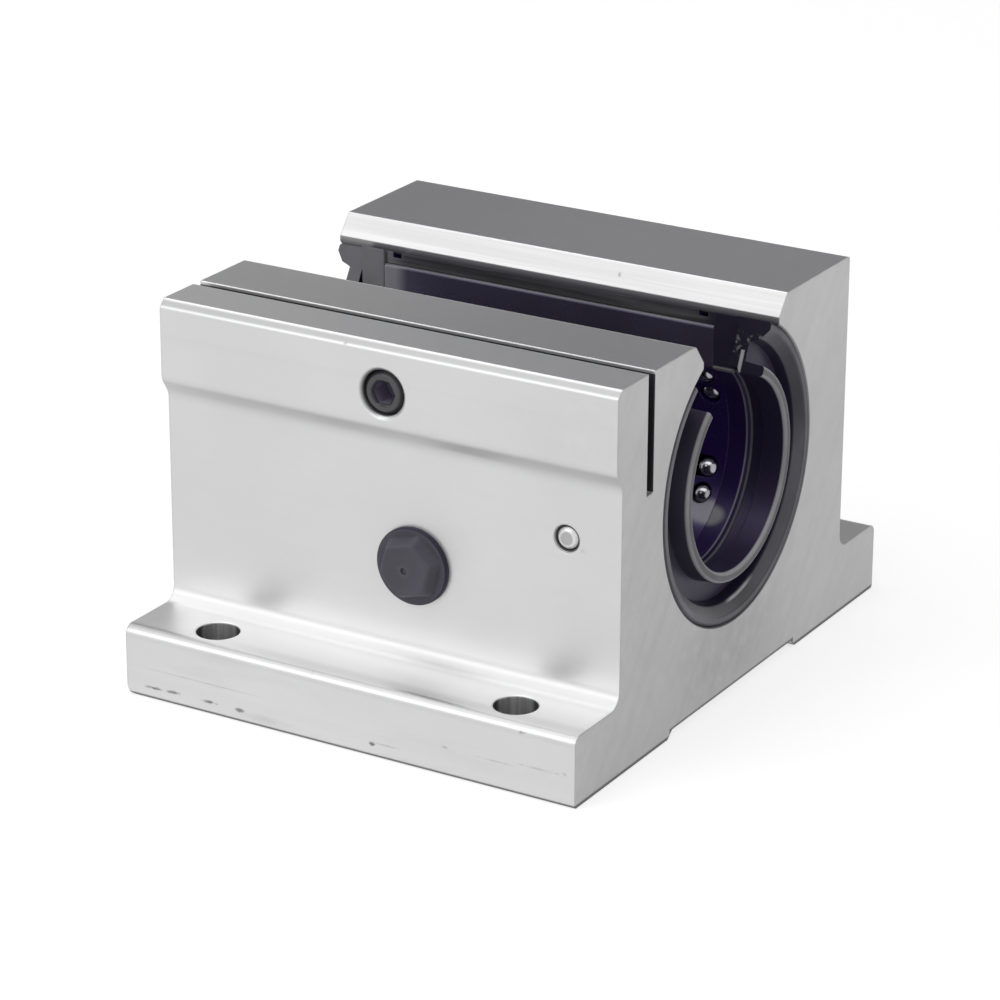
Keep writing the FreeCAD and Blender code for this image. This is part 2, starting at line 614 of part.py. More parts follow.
# End seals: moulded wipers with a thin lip, open like the bearing
for name, sign, turn in (("end_seal_front", "", "seal_turn"), ("end_seal_rear", "-", None)):
    seal = new_body(name, height="bore_height", turn=turn)
    profile = new_sketch(seal, name + "_section", "XZ_Plane")
    outline(profile, [(sign + "(%s)" % x, "-(%s)" % r) for x, r in (
        ("seal_back", "lip_radius + lip_relief"),
        ("seal_back + lip_step", "lip_radius + lip_relief"),
        ("seal_back + lip_step + lip_relief / 2", "lip_radius"),
        ("block_half + lip_proud", "lip_radius"),
        ("block_half + lip_proud", "lip_radius + lip_thick"),
        ("block_half - seal_groove", "lip_radius + lip_root"),
        ("block_half - seal_groove", "seal_edge - seal_wall_root"),
        ("block_half - seal_slope_depth", "seal_edge - seal_face - seal_slope"),
        ("block_half", "seal_edge - seal_face"),
        ("block_half", "seal_edge - seal_bevel"),
        ("block_half - seal_bevel", "seal_edge"),
        ("seal_back", "seal_edge"),
        ("seal_back", "seal_edge - seal_skirt"),
        ("seal_back + seal_hollow", "seal_edge - seal_skirt"),
        ("seal_back + seal_hollow", "lip_radius + hollow_root"),
        ("seal_back", "lip_radius + hollow_root"),
    )])
    revolve(seal, profile, "360 - seal_gape")
    nose = sign + "(block_half + lip_proud)"
    soften(seal, name + "_nose", rims(seal.Tip.Shape, "2 * lip_radius", "x", nose)
           + rims(seal.Tip.Shape, "2 * lip_radius + 2 * lip_thick", "x", nose), "lip_round")

doc.recompute()
faults = [item.Name for item in doc.Objects if {"Invalid", "Error"} & set(item.State)]
bodies = [item for item in doc.Objects if item.TypeId == "PartDesign::Body"]
faults += [body.Label for body in bodies if body.Shape.isNull() or not body.Shape.isValid()]
if faults:
    raise RuntimeError("failed: " + ", ".join(faults))

os.makedirs("parts", exist_ok=True)
for body in bodies:
    body.Shape.exportStep("parts/%s.step" % body.Label)
    box = body.Shape.BoundBox
    print(body.Label, len(body.Shape.Solids), round(body.Shape.Volume, 2), [
        round(edge, 3) for edge in (box.XMin, box.XMax, box.YMin, box.YMax, box.ZMin, box.ZMax)])
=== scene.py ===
# studio scene for the linear bearing block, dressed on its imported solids
import bpy
import numpy as np
from mathutils import Matrix

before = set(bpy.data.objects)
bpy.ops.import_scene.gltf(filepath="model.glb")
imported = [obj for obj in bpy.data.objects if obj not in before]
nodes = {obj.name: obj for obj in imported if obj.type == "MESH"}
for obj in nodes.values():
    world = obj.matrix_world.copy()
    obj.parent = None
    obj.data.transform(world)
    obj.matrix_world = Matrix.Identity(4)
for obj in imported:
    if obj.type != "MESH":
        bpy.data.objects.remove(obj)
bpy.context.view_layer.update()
scene = bpy.context.scene
scene.view_settings.view_transform = "Standard"
black, white = (0.0, 0.0, 0.0), (1.0, 1.0, 1.0)
aboutX, aboutY = (0.0, 1.0, 1.0), (1.0, 0.0, 1.0)  # reaches that measure a distance from an axis
millimetre = 0.001
print("frame loaded:", len(nodes), "nodes")


# small helpers for shader trees
def startMaterial(name):
    material = bpy.data.materials.new(name)
    material.use_nodes = True
    return material, material.node_tree, material.node_tree.nodes["Principled BSDF"]


def addNode(tree, kind, **settings):
    node = tree.nodes.new(kind)
    for key, value in settings.items():
        setattr(node, key, value)
    return node


def feed(tree, socket, value):
    # a number or colour is set on the socket, anything else is wired to it
    if isinstance(value, (int, float)):
        socket.default_value = value
    elif isinstance(value, tuple):
        socket.default_value = value + (1.0,) if len(socket.default_value) == len(value) + 1 else value
    else:
        tree.links.new(value, socket)


def calc(tree, operation, first, second=0.0, clamp=False):
    node = addNode(tree, "ShaderNodeMath", operation=operation, use_clamp=clamp)
    feed(tree, node.inputs[0], first)
    feed(tree, node.inputs[1], second)
    return node.outputs[0]


def plus(tree, first, second):
    return calc(tree, "ADD", first, second)


def minus(tree, first, second):
    return calc(tree, "SUBTRACT", first, second)


def size(tree, value):
    return calc(tree, "ABSOLUTE", value)


def above(tree, value, limit):
    return calc(tree, "GREATER_THAN", value, limit)


def below(tree, value, limit):
    return calc(tree, "LESS_THAN", value, limit)


def both(tree, *masks):
    # product of masks: one where all of them are one
    total = masks[0]
    for mask in masks[1:]:
        total = calc(tree, "MULTIPLY", total, mask)
    return total


def either(tree, *masks):
    # the strongest mask counts at each place
    total = masks[0]
    for mask in masks[1:]:
        total = calc(tree, "MAXIMUM", total, mask)
    return total


def step(tree, value, low, high, start=0.0, end=1.0):
    # eased ramp: start below low, end above high
    node = addNode(tree, "ShaderNodeMapRange", interpolation_type="SMOOTHSTEP")
    for socket, entry in zip(node.inputs, (value, low, high, start, end)):
        feed(tree, socket, entry)
    return node.outputs[0]


def fade(tree, value, low, high, start=1.0):
    return step(tree, value, low, high, start, 0.0)


def swing(tree, noise, depth):
    # noise turned into a change about zero
    return both(tree, minus(tree, noise, 0.5), depth)


def blendColour(tree, factor, first, second, mode="MIX"):
    # sockets 6 and 7 take the colours of a colour mix, socket 2 gives the result
    node = addNode(tree, "ShaderNodeMix", data_type="RGBA", blend_type=mode)
    feed(tree, node.inputs[0], factor)
    feed(tree, node.inputs[6], first)
    feed(tree, node.inputs[7], second)
    return node.outputs[2]


def blendNumber(tree, factor, first, second):
    return step(tree, factor, 0.0, 1.0, first, second)


def shade(colour, factor):
    return tuple(factor * channel for channel in colour)


def place(tree, stretch=(1.0, 1.0, 1.0), shift=(0.0, 0.0, 0.0)):
    # object coordinates, stretched and shifted
    coords = addNode(tree, "ShaderNodeTexCoord")
    mapping = addNode(tree, "ShaderNodeMapping")
    tree.links.new(coords.outputs["Object"], mapping.inputs["Vector"])
    mapping.inputs["Scale"].default_value = stretch
    mapping.inputs["Location"].default_value = shift
    return mapping.outputs[0]


def axesOf(tree):
    coords = addNode(tree, "ShaderNodeTexCoord")
    axes = addNode(tree, "ShaderNodeSeparateXYZ")
    tree.links.new(coords.outputs["Object"], axes.inputs[0])
    return axes.outputs


def lengthOf(tree, vector):
    node = addNode(tree, "ShaderNodeVectorMath", operation="LENGTH")
    tree.links.new(vector, node.inputs[0])
    return node.outputs["Value"]


def spread(tree, centre, reach):
    # distance from a centre, measured in reaches along x, y and z; a reach of zero leaves an axis out
    stretch = tuple(1.0 / r if r else 0.0 for r in reach)
    return lengthOf(tree, place(tree, stretch, tuple(-c * s for c, s in zip(centre, stretch))))


def noiseAt(tree, where, scale, detail, rough):
    node = addNode(tree, "ShaderNodeTexNoise", noise_dimensions="3D")
    tree.links.new(where, node.inputs["Vector"])
    node.inputs["Scale"].default_value = scale
    node.inputs["Detail"].default_value = detail
    node.inputs["Roughness"].default_value = rough
    return node.outputs[0]


def grain(tree, spec):
    # spec: grains per metre along the axes or one number for all, octaves, roughness of the octaves
    count, detail, rough = spec
    if isinstance(count, tuple):
        return noiseAt(tree, place(tree, count), 1.0, detail, rough)
    return noiseAt(tree, place(tree), count, detail, rough)


def leaningGrain(tree, spec, lean):
    # grain turned about x before it is stretched
    count, detail, rough = spec
    turned = addNode(tree, "ShaderNodeVectorRotate", rotation_type="X_AXIS")
    tree.links.new(place(tree), turned.inputs["Vector"])
    turned.inputs["Angle"].default_value = lean
    stretched = addNode(tree, "ShaderNodeVectorMath", operation="MULTIPLY")
    tree.links.new(turned.outputs[0], stretched.inputs[0])
    stretched.inputs[1].default_value = count
    return noiseAt(tree, stretched.outputs[0], 1.0, detail, rough)


def bump(tree, height, spec, under):
    # spec: strength and height in metres
    node = addNode(tree, "ShaderNodeBump")
    node.inputs["Strength"].default_value = spec[0]
    node.inputs["Distance"].default_value = spec[1]
    tree.links.new(height, node.inputs["Height"])
    tree.links.new(under, node.inputs["Normal"])
    return node.outputs[0]


def soften(tree, radius):
    # edges shaded as if broken by this radius
    node = addNode(tree, "ShaderNodeBevel", samples=4)
    node.inputs["Radius"].default_value = radius
    return node.outputs[0]


def dress(material, *names):
    for name in names:
        for slot in nodes[name].material_slots:
            slot.material = material


# housing: drawn aluminium with sawn ends, milled jaw tops and a few handling marks, with painted light and
# painted shade on many faces and edges
aluminium = {
    # colour, metal share and roughness of each finish
    "skin": (0.72, 0.72, 0.723), "skinMetal": 0.70, "skinRough": 0.42,
    "sawn": (0.72, 0.72, 0.72), "sawnMetal": 0.35, "sawnRough": 0.50,
    "milled": (0.69, 0.69, 0.725), "milledMetal": 1.0, "milledRough": 0.28, "stripMetal": 0.82,
    "mouth": (0.67, 0.67, 0.67), "mouthMetal": 0.45, "mouthRough": 0.52,
    "flange": (0.855, 0.855, 0.855), "flangeMetal": 0.86, "edgeRough": 0.30, "filletRough": 0.55,
    "shadow": (0.05, 0.05, 0.055), "shadowMetal": 0.3,
    # ends and jaws: places in metres, and how much painted shade or painted light each place gets
    "endFrom": (0.03332, 0.03338), "topFrom": (0.05090, 0.05096),
    "mouthHalf": 0.0130, "mouthFrom": (0.04805, 0.04830),
    "throatHalf": 0.01025, "throatFrom": 0.0302, "throatTo": 0.04825,
    "throatFade": (0.0472, 0.0482), "throatPaintedShade": (0.90, 0.60),
    "bevelFrom": (0.08168, 0.08175), "bevelMid": 0.0192, "bevelHalf": (0.00035, 0.00085),  # z - y and z + y
    "bevelBeyond": -0.0300, "bevelPaintedShade": 0.42,
    "slotMid": -0.02355, "slotSoft": 0.0001, "slotHalf": 0.00083,
    "slotFloor": 0.0353, "slotTop": (0.05090, 0.05055),
    "stripTo": (-0.02435, -0.02355), "stripPaintedLight": 0.08,  # strip of the jaw top outside the slot
    "jawAlong": (-0.034, 0.026), "jawPaintedLight": 0.76,
    "farJawAlong": (-0.030, 0.020), "farJawPaintedShade": (0.08, -0.03),  # below zero there is no shade
    # flange, its round, the fillet above it and the wall up to the foot of the boss, with painted light and
    # painted shade on them and a painted shadow under the boss
    "flangeFrom": (0.0305, 0.0322), "flangeRise": (0.0115, 0.0125), "flangeFace": (0.00938, 0.00946),
    "filletIn": (0.0304, 0.0310), "filletOut": (0.0313, 0.0320), "filletLow": (0.0095, 0.0097),
    "filletHigh": (0.0108, 0.0118), "filletAlong": (-0.030, 0.014), "filletPaintedShade": (0.09, 0.14),
    "roundAcross": (0.0397, 0.0400), "roundHeight": (0.0079, 0.0082),
    "roundShade": (-0.03215, -0.03165), "roundPaintedShade": (0.05, 0.31),  # z - |y|
    "roundStart": (-0.0312, -0.0305), "roundStartShare": (1.0, 0.4),
    "fallWide": (0.0335, 0.0385), "fallWidePaintedShade": 0.09, "fallNear": (0.0376, 0.0391), "fallNearPaintedShade": 0.13,
    "fallAlong": (-0.026, -0.006), "fallShare": (0.1, 1.0),
    "plainAlong": (0.012, 0.030), "plainPaintedShade": 0.36,
    "wallFrom": 0.0303, "wallTo": 0.0325, "wallFoot": (0.0112, 0.0150), "wallFootPaintedLight": 0.20,
    "bossFace": 0.03178, "footRise": (0.0368, 0.0397), "footEnd": (0.0397, 0.0405), "footPaintedShadow": 0.25,
    "footAlong": (-0.034, -0.010), "footShare": (0.72, 1.0),
    # holes, seats and lower edges: painted shade in the holes, in the gap round the bore, along the lower
    # edges, in the screw seat and round the pin
    "holeAt": (0.022225, 0.036515), "holeReach": (0.00284, 0.00294), "holeTop": (0.00930, 0.00944),
    "holeTurn": (0.859, 0.512), "holeSides": (0.0016, 0.0025), "holePaintedShade": (0.06, 0.42),
    "axis": (0.0, 0.0, 0.03015), "boreEdge": (0.02002, 0.02012), "boreEnd": (0.0329, 0.0331),
    "boreRise": (0.020, 0.045), "borePaintedShade": (0.85, 0.60),
    "baseEdge": (0.0003, 0.00055), "basePaintedShadow": 0.80,
    "reliefHalf": 0.0172, "reliefEdge": (0.00115, 0.00145), "reliefPaintedShade": 0.75,
    "screwAt": (0.0, -0.0318, 0.04455), "screwReach": (0.00305, 0.00345), "screwBeyond": -0.0220,
    "screwAlong": (-0.0018, 0.0006), "screwPaintedShade": 0.75,
    "pinAt": (0.025675, -0.0304, 0.03015), "moatReach": (0.00178, 0.00182), "moatPaintedShade": 0.95,
    # grains per metre, octaves, roughness: die lines run with the extrusion, the others as their names say
    "dieLines": ((3.0, 2300.0, 2300.0), 3.0, 0.55), "drawLines": ((1.5, 620.0, 620.0), 2.0, 0.5),
    "sawLines": ((1.0, 520.0, 36.0), 4.0, 0.6), "sawLean": 0.65,
    "cloud": (60.0, 4.0, 0.55), "mottle": (420.0, 3.0, 0.55), "smears": ((90.0, 420.0, 420.0), 3.0, 0.6),
    "pits": (5200.0, 2.0, 0.6), "brushed": ((14.0, 900.0, 900.0), 3.0, 0.6),
    "holeStreaks": ((1400.0, 1400.0, 60.0), 2.0, 0.5),
    # where in each grain a change of tone lies, its share, and the changed tone as a share of the finish
    "evenSpan": (0.3, 0.7), "skinCloud": 0.965, "sawnCloud": 1.08, "milledMottle": 0.975,
    "drawSpan": (0.56, 0.72), "drawShare": 0.16, "drawTone": 0.88,
    "smearSpan": (0.48, 0.72), "smearRise": (0.0085, 0.0100), "smearShare": (0.5, 0.12), "smearTone": 0.90,
    "sawSpan": (0.4, 0.75), "sawShare": 0.27, "sawTone": 0.80,
    "mottleSpan": (0.3, 0.75), "mottleShare": 0.26, "mottleTone": 0.86,
    # painted shade towards the bottom of the sawn ends, painted light towards their far side and their top
    "sawnLow": (0.004, 0.046), "sawnLowPaintedShade": 0.08, "sawnFar": (0.002, 0.026), "sawnFarPaintedLight": 0.20,
    "sawnHigh": (0.036, 0.050), "sawnHighPaintedLight": 0.16,
    "brushedSpan": (0.35, 0.65), "mouthTones": (1.07, 1.27),
    "wornSpan": (0.25, 0.6), "wornShare": (0.45, 1.0), "wornRough": 0.2,
    # relief
    "edgeRadius": 0.0003, "drawnGloss": 0.04,
    "drawnBump": (0.03, 0.00003), "sawBump": (0.08, 0.00005), "pitBump": (0.09, 0.00003),
}
marksAndShade = {
    "tone": (0.16, 0.16, 0.16), "tear": ((900.0, 2200.0, 2200.0), 3.0, 0.65), "tearDepth": 2.6,
    "tornUpTo": 4.0, "outline": (0.25, 1.1),  # only small marks have torn outlines
    # centre, half size and depth of tone of each mark, lengths in millimetres
    "marks": [
        ((-29.4, -41.28, 1.68), (1.5, 0.5, 0.26), 0.85),
        ((-26.1, -41.28, 1.74), (1.3, 0.5, 0.26), 0.80),
        ((-20.6, -41.28, 1.68), (1.3, 0.5, 0.28), 0.85),
        ((-15.6, -41.28, 1.67), (1.0, 0.5, 0.34), 0.95),
        ((-22.0, -41.28, 4.22), (11.0, 0.5, 0.14), 0.24),
        ((-12.2, -41.28, 1.20), (5.0, 0.5, 0.80), 0.14),
        ((4.2, -41.28, 1.78), (0.5, 0.5, 0.42), 0.85),
        ((6.5, -41.28, 2.03), (2.4, 0.5, 0.20), 0.30),
        ((14.8, -41.28, 3.90), (0.5, 0.5, 0.28), 0.35),
        ((25.8, -41.28, 8.52), (0.55, 0.6, 0.42), 0.70),
        ((22.4, -41.28, 3.75), (3.0, 0.5, 0.16), 0.26),
        ((28.4, -41.28, 4.18), (3.4, 0.5, 0.15), 0.26),
        ((32.0, -41.28, 4.32), (0.35, 0.5, 0.30), 0.45),
        # broad faint darker patches on the flange top and boss face, among the small marks
        ((12.8, -39.40, 9.50), (6.0, 0.50, 0.40), 0.12),
        ((-4.9, -40.60, 9.20), (0.25, 0.5, 0.5), 0.35),
        ((-30.5, -35.5, 9.50), (4.5, 4.0, 0.40), 0.10),
        ((27.9, -30.40, 29.0), (0.5, 0.4, 0.35), 0.20),
        ((-5.3, -31.70, 50.2), (0.3, 0.4, 0.30), 0.50),
        ((9.4, 11.30, 49.6), (0.3, 1.2, 0.35), 0.55),
        ((33.4, -30.9, 32.0), (0.4, 0.9, 0.30), 0.40),
        # painted shade: the sawn end darker towards its lower middle
        ((33.4, -2.0, 8.0), (0.4, 17.0, 9.0), 0.15),
        ((29.0, -31.80, 45.0), (13.0, 0.6, 8.0), 0.06),
    ],
}


def markMask(tree, spec):
    # soft ellipses, the small ones with torn outlines
    tear = swing(tree, grain(tree, spec["tear"]), spec["tearDepth"])
    spots = []
    for centre, reach, depth in spec["marks"]:
        far = spread(tree, shade(centre, millimetre), shade(reach, millimetre))
        if max(reach) < spec["tornUpTo"]:
            far = plus(tree, far, tear)
        spots.append(fade(tree, far, *spec["outline"], depth))
    return either(tree, *spots)


def jawAreas(tree, spec, x, y, z):
    end = step(tree, size(tree, x), *spec["endFrom"])
    top = step(tree, z, *spec["topFrom"])
    across = size(tree, y)
    mouth = both(tree, below(tree, across, spec["mouthHalf"]), step(tree, z, *spec["mouthFrom"]))
    # throat: painted shade on the wall inside the opening, less of it just under the mouth
    throat = both(tree, below(tree, across, spec["throatHalf"]), below(tree, z, spec["throatTo"]),
                  above(tree, z, spec["throatFrom"]),
                  step(tree, z, *spec["throatFade"], *spec["throatPaintedShade"]))
    # boss bevel: the chamfer that gets painted shade
    offBevel = size(tree, minus(tree, plus(tree, z, y), spec["bevelMid"]))
    bossBevel = both(tree, step(tree, minus(tree, z, y), *spec["bevelFrom"]),
                     below(tree, y, spec["bevelBeyond"]), fade(tree, offBevel, *spec["bevelHalf"]))
    # slot: painted shade inside it, the top of its far wall left out
    offSlot = size(tree, minus(tree, y, spec["slotMid"]))
    slotTop = step(tree, y, spec["slotMid"], spec["slotMid"] + spec["slotSoft"], *spec["slotTop"])
    slot = both(tree, below(tree, offSlot, spec["slotHalf"]), above(tree, z, spec["slotFloor"]),
                below(tree, z, slotTop))
    return {"end": end, "top": top, "mouth": mouth, "throat": throat, "bossBevel": bossBevel, "slot": slot}


def flangeAreas(tree, spec, x, y, z):
    across = size(tree, y)
    flange = both(tree, step(tree, across, *spec["flangeFrom"]), fade(tree, z, *spec["flangeRise"]),
                  step(tree, z, *spec["flangeFace"]))
    fillet = both(tree, step(tree, across, *spec["filletIn"]), fade(tree, across, *spec["filletOut"]),
                  step(tree, z, *spec["filletLow"]), fade(tree, z, *spec["filletHigh"]))
    flangeEdge = both(tree, step(tree, across, *spec["roundAcross"]), step(tree, z, *spec["roundHeight"]))
    # painted shade narrowing the highlight on the round, a painted dark reflection along the flange top
    # near its edge, and painted shade on the plain side towards +x
    overRound = minus(tree, z, across)
    roundShade = both(tree, flangeEdge, step(tree, overRound, *spec["roundShade"], *spec["roundPaintedShade"]),
                      step(tree, overRound, *spec["roundStart"], *spec["roundStartShare"]))
    falloff = plus(tree, step(tree, across, *spec["fallWide"], 0.0, spec["fallWidePaintedShade"]),
                   step(tree, across, *spec["fallNear"], 0.0, spec["fallNearPaintedShade"]))
    falloff = both(tree, flange, falloff, step(tree, x, *spec["fallAlong"], *spec["fallShare"]))
    plainShade = both(tree, flange, above(tree, y, 0.0),
                      step(tree, x, *spec["plainAlong"], 0.0, spec["plainPaintedShade"]))
    wallFoot = both(tree, above(tree, across, spec["wallFrom"]), below(tree, across, spec["wallTo"]),
                    fade(tree, z, *spec["wallFoot"], spec["wallFootPaintedLight"]))
    bossFoot = both(tree, above(tree, across, spec["wallFrom"]), below(tree, across, spec["bossFace"]),
                    step(tree, z, *spec["footRise"], 0.0, spec["footPaintedShadow"]),
                    fade(tree, z, *spec["footEnd"]), step(tree, x, *spec["footAlong"], *spec["footShare"]))
    return {"flange": flange, "fillet": fillet, "flangeEdge": flangeEdge,
            "wallFoot": wallFoot, "bossFoot": bossFoot,
            "flangeShade": either(tree, roundShade, falloff, plainShade)}


def holeArea(tree, spec, x, y, z):
    # all four holes folded onto one, painted shade inside, lighter in a band on the far wall between darker
    # sides
    along = minus(tree, size(tree, x), spec["holeAt"][0])
    across = minus(tree, size(tree, y), spec["holeAt"][1])
    folded = addNode(tree, "ShaderNodeCombineXYZ")
    tree.links.new(along, folded.inputs[0])
    tree.links.new(across, folded.inputs[1])
    beside = plus(tree, both(tree, along, calc(tree, "SIGN", x), spec["holeTurn"][0]),
                  both(tree, across, calc(tree, "SIGN", y), spec["holeTurn"][1]))
    sides = step(tree, size(tree, beside), *spec["holeSides"])
    streaks = step(tree, grain(tree, spec["holeStreaks"]), *spec["evenSpan"], *spec["holePaintedShade"])
    return both(tree, fade(tree, lengthOf(tree, folded.outputs[0]), *spec["holeReach"]),
                fade(tree, z, *spec["holeTop"]), either(tree, streaks, sides))


def paintedShadePlaces(tree, spec, area, x, y, z):
    # painted shade in recesses and gaps: slot, throat, holes, bore edge, lower edges, relief edges, screw
    # seat and the moat round the pin
    boreEdge = both(tree, fade(tree, spread(tree, spec["axis"], aboutX), *spec["boreEdge"]),
                    step(tree, size(tree, x), *spec["boreEnd"]),
                    step(tree, z, *spec["boreRise"], *spec["borePaintedShade"]))
    baseEdge = fade(tree, z, *spec["baseEdge"], spec["basePaintedShadow"])
    reliefEdge = both(tree, area["end"], below(tree, size(tree, y), spec["reliefHalf"]),
                      fade(tree, z, *spec["reliefEdge"], spec["reliefPaintedShade"]))
    screwSeat = both(tree, fade(tree, spread(tree, spec["screwAt"], aboutY), *spec["screwReach"]),
                     below(tree, y, spec["screwBeyond"]),
                     fade(tree, x, *spec["screwAlong"], spec["screwPaintedShade"]))
    moat = both(tree, fade(tree, spread(tree, spec["pinAt"], aboutY), *spec["moatReach"], spec["moatPaintedShade"]),
                below(tree, y, 0.0))
    return either(tree, area["slot"], area["throat"], holeArea(tree, spec, x, y, z), boreEdge, baseEdge,
                  reliefEdge, screwSeat, moat)


def skinTone(tree, spec, cloud, z):
    tone = blendColour(tree, step(tree, cloud, *spec["evenSpan"]), spec["skin"],
                       shade(spec["skin"], spec["skinCloud"]))
    drawLines = step(tree, grain(tree, spec["drawLines"]), *spec["drawSpan"], 0.0, spec["drawShare"])
    tone = blendColour(tree, drawLines, tone, shade(spec["skin"], spec["drawTone"]))
    smears = both(tree, step(tree, grain(tree, spec["smears"]), *spec["smearSpan"]),
                  step(tree, z, *spec["smearRise"], *spec["smearShare"]))
    return blendColour(tree, smears, tone, shade(spec["skin"], spec["smearTone"]))


def sawnTone(tree, spec, cloud, mottle, sawLines, y, z):
    tone = blendColour(tree, step(tree, cloud, *spec["evenSpan"]), spec["sawn"],
                       shade(spec["sawn"], spec["sawnCloud"]))
    lines = step(tree, sawLines, *spec["sawSpan"], 0.0, spec["sawShare"])
    tone = blendColour(tree, lines, tone, shade(spec["sawn"], spec["sawTone"]))
    spots = step(tree, mottle, *spec["mottleSpan"], 0.0, spec["mottleShare"])
    tone = blendColour(tree, spots, tone, shade(spec["sawn"], spec["mottleTone"]))
    # painted shade towards the bottom, painted light towards the far side and the top
    tone = blendColour(tree, fade(tree, z, *spec["sawnLow"], spec["sawnLowPaintedShade"]), tone, black)
    tone = blendColour(tree, step(tree, y, *spec["sawnFar"], 0.0, spec["sawnFarPaintedLight"]), tone, white)
    return blendColour(tree, step(tree, z, *spec["sawnHigh"], 0.0, spec["sawnHighPaintedLight"]), tone, white)


def milledTone(tree, spec, mottle, x, y):
    tone = blendColour(tree, step(tree, mottle, *spec["evenSpan"]), spec["milled"],
                       shade(spec["milled"], spec["milledMottle"]))
    # painted light along the near jaw top, painted shade along the far one, and painted light on the strip
    # outside the slot
    light = both(tree, fade(tree, x, *spec["jawAlong"], spec["jawPaintedLight"]), below(tree, y, 0.0))
    tone = blendColour(tree, light, tone, white)
    dark = both(tree, step(tree, x, *spec["farJawAlong"], *spec["farJawPaintedShade"]), above(tree, y, 0.0))
    tone = blendColour(tree, either(tree, dark, 0.0), tone, black)
    return blendColour(tree, fade(tree, y, *spec["stripTo"], spec["stripPaintedLight"]), tone, white)


def makeAluminium(spec, marks):
    material, tree, shader = startMaterial("housing_satin")
    x, y, z = axesOf(tree)
    area = jawAreas(tree, spec, x, y, z)
    area.update(flangeAreas(tree, spec, x, y, z))
    dark = paintedShadePlaces(tree, spec, area, x, y, z)
    cloud, mottle = grain(tree, spec["cloud"]), grain(tree, spec["mottle"])
    sawLines = leaningGrain(tree, spec["sawLines"], spec["sawLean"])
    # colour, from the skin to the finishes and shadows that lie over it
    sawn = sawnTone(tree, spec, cloud, mottle, sawLines, y, z)
    tone = blendColour(tree, area["end"], skinTone(tree, spec, cloud, z), sawn)
    # painted shade on the boss bevel
    tone = blendColour(tree, both(tree, area["bossBevel"], spec["bevelPaintedShade"]), tone, black)
    # painted shadow under the boss
    tone = blendColour(tree, area["bossFoot"], tone, black)
    # painted light at the foot of the wall
    tone = blendColour(tree, area["wallFoot"], tone, white)
    # the flange top gets a paler colour than the skin, as painted light
    tone = blendColour(tree, area["flange"], tone, spec["flange"])
    # painted shade on the fillet, dimming its highlight
    filletPaintedShade = both(tree, area["fillet"], step(tree, x, *spec["filletAlong"], *spec["filletPaintedShade"]))
    tone = blendColour(tree, filletPaintedShade, tone, black)
    # painted shade on the flange round, along the flange top's edge and on the plain side flange
    tone = blendColour(tree, area["flangeShade"], tone, black)
    mouthTones = [shade(spec["mouth"], share) for share in spec["mouthTones"]]
    brushed = blendColour(tree, step(tree, grain(tree, spec["brushed"]), *spec["brushedSpan"]), *mouthTones)
    tone = blendColour(tree, area["mouth"], tone, brushed)
    tone = blendColour(tree, area["top"], tone, milledTone(tree, spec, mottle, x, y))
    tone = blendColour(tree, area["end"], tone, sawn)  # again, over finishes that run out to the ends
    # scuffs and nicks, and among them broad darker patches, one of them painted shade on the sawn end
    wornAndShaded = both(tree, markMask(tree, marks), step(tree, mottle, *spec["wornSpan"], *spec["wornShare"]))
    tone = blendColour(tree, wornAndShaded, tone, marks["tone"])
    # painted shade in recesses, gaps and under edges, laid over all the rest
    tree.links.new(blendColour(tree, dark, tone, spec["shadow"]), shader.inputs["Base Color"])
    # metal share
    metal = blendNumber(tree, area["flange"], spec["skinMetal"], spec["flangeMetal"])
    metal = blendNumber(tree, area["mouth"], metal, spec["mouthMetal"])
    topMetal = step(tree, y, *spec["stripTo"], spec["stripMetal"], spec["milledMetal"])
    metal = blendNumber(tree, area["top"], metal, topMetal)
    metal = blendNumber(tree, area["end"], metal, spec["sawnMetal"])
    tree.links.new(blendNumber(tree, dark, metal, spec["shadowMetal"]), shader.inputs["Metallic"])
    # gloss and relief, with die lines everywhere but on the jaw tops
    drawn = both(tree, grain(tree, spec["dieLines"]), minus(tree, 1.0, area["top"]))
    rough = blendNumber(tree, area["flangeEdge"], spec["skinRough"], spec["edgeRough"])
    rough = blendNumber(tree, area["fillet"], rough, spec["filletRough"])
    rough = blendNumber(tree, area["mouth"], rough, spec["mouthRough"])
    rough = blendNumber(tree, area["top"], rough, spec["milledRough"])
    rough = blendNumber(tree, area["end"], rough, spec["sawnRough"])
    rough = plus(tree, rough, swing(tree, drawn, spec["drawnGloss"]))
    tree.links.new(plus(tree, rough, both(tree, wornAndShaded, spec["wornRough"])), shader.inputs["Roughness"])
    relief = bump(tree, drawn, spec["drawnBump"], soften(tree, spec["edgeRadius"]))
    relief = bump(tree, both(tree, sawLines, area["end"]), spec["sawBump"], relief)
    tree.links.new(bump(tree, grain(tree, spec["pits"]), spec["pitBump"], relief), shader.inputs["Normal"])
    return material


dress(makeAluminium(aluminium, marksAndShade), "housing")
print("housing dressed")


# black mouldings: each has a mist of tone, a fine grain, and its own painted light, painted shade, painted
# highlights and painted reflection
moulding = {
    "mist": (160.0, 3.0, 0.5), "mistSpan": (0.3, 0.7), "mistShare": 0.35, "mistTone": (0.4, 0.4, 0.4),
    "glossSpan": (0.25, 0.75), "glossChange": (-0.04, 0.06), "tint": (0.72, 0.64, 1.0, 1.0),
    "fine": (4200.0, 2.0, 0.5), "fineGloss": 0.08, "fineBump": (0.08, 0.00003),
    "paintedReflectionOutline": (0.55, 1.05),
}


